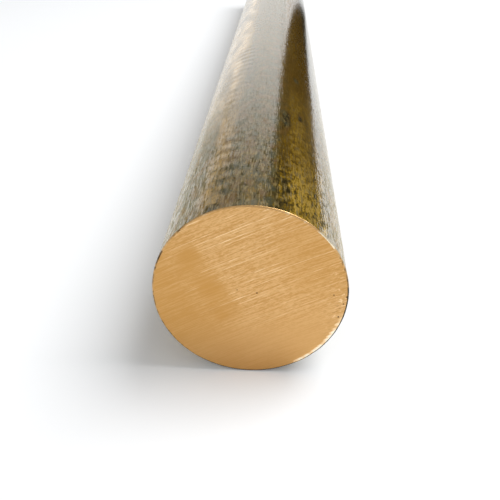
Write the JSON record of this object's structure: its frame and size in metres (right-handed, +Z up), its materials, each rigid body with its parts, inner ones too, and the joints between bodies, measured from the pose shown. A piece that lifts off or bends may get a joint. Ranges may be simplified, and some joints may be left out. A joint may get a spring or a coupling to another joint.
{
  "type": "round metal bar",
  "caption": "Solid round brass bar stock, sawn square at both ends, used as turning or construction stock, a rod, pin or spacer.",
  "frame": {"origin": "bottom centre of the bar as it lies on a floor: on the line where it touches the floor, halfway along its length", "axes": "+Y along the bar's axis, away from the sawn end that the picture shows; +Z up; +X across the bar, to the right when looking along +Y"},
  "size_m": [0.0254, 0.3048, 0.0254],
  "materials": {
    "tarnished_brass": "drawn skin mottled dark brown and gold by tarnish, with bright sawn ends"
  },
  "bodies": {
    "root": {"round_bar": "tarnished_brass"}
  },
  "joints": []
}
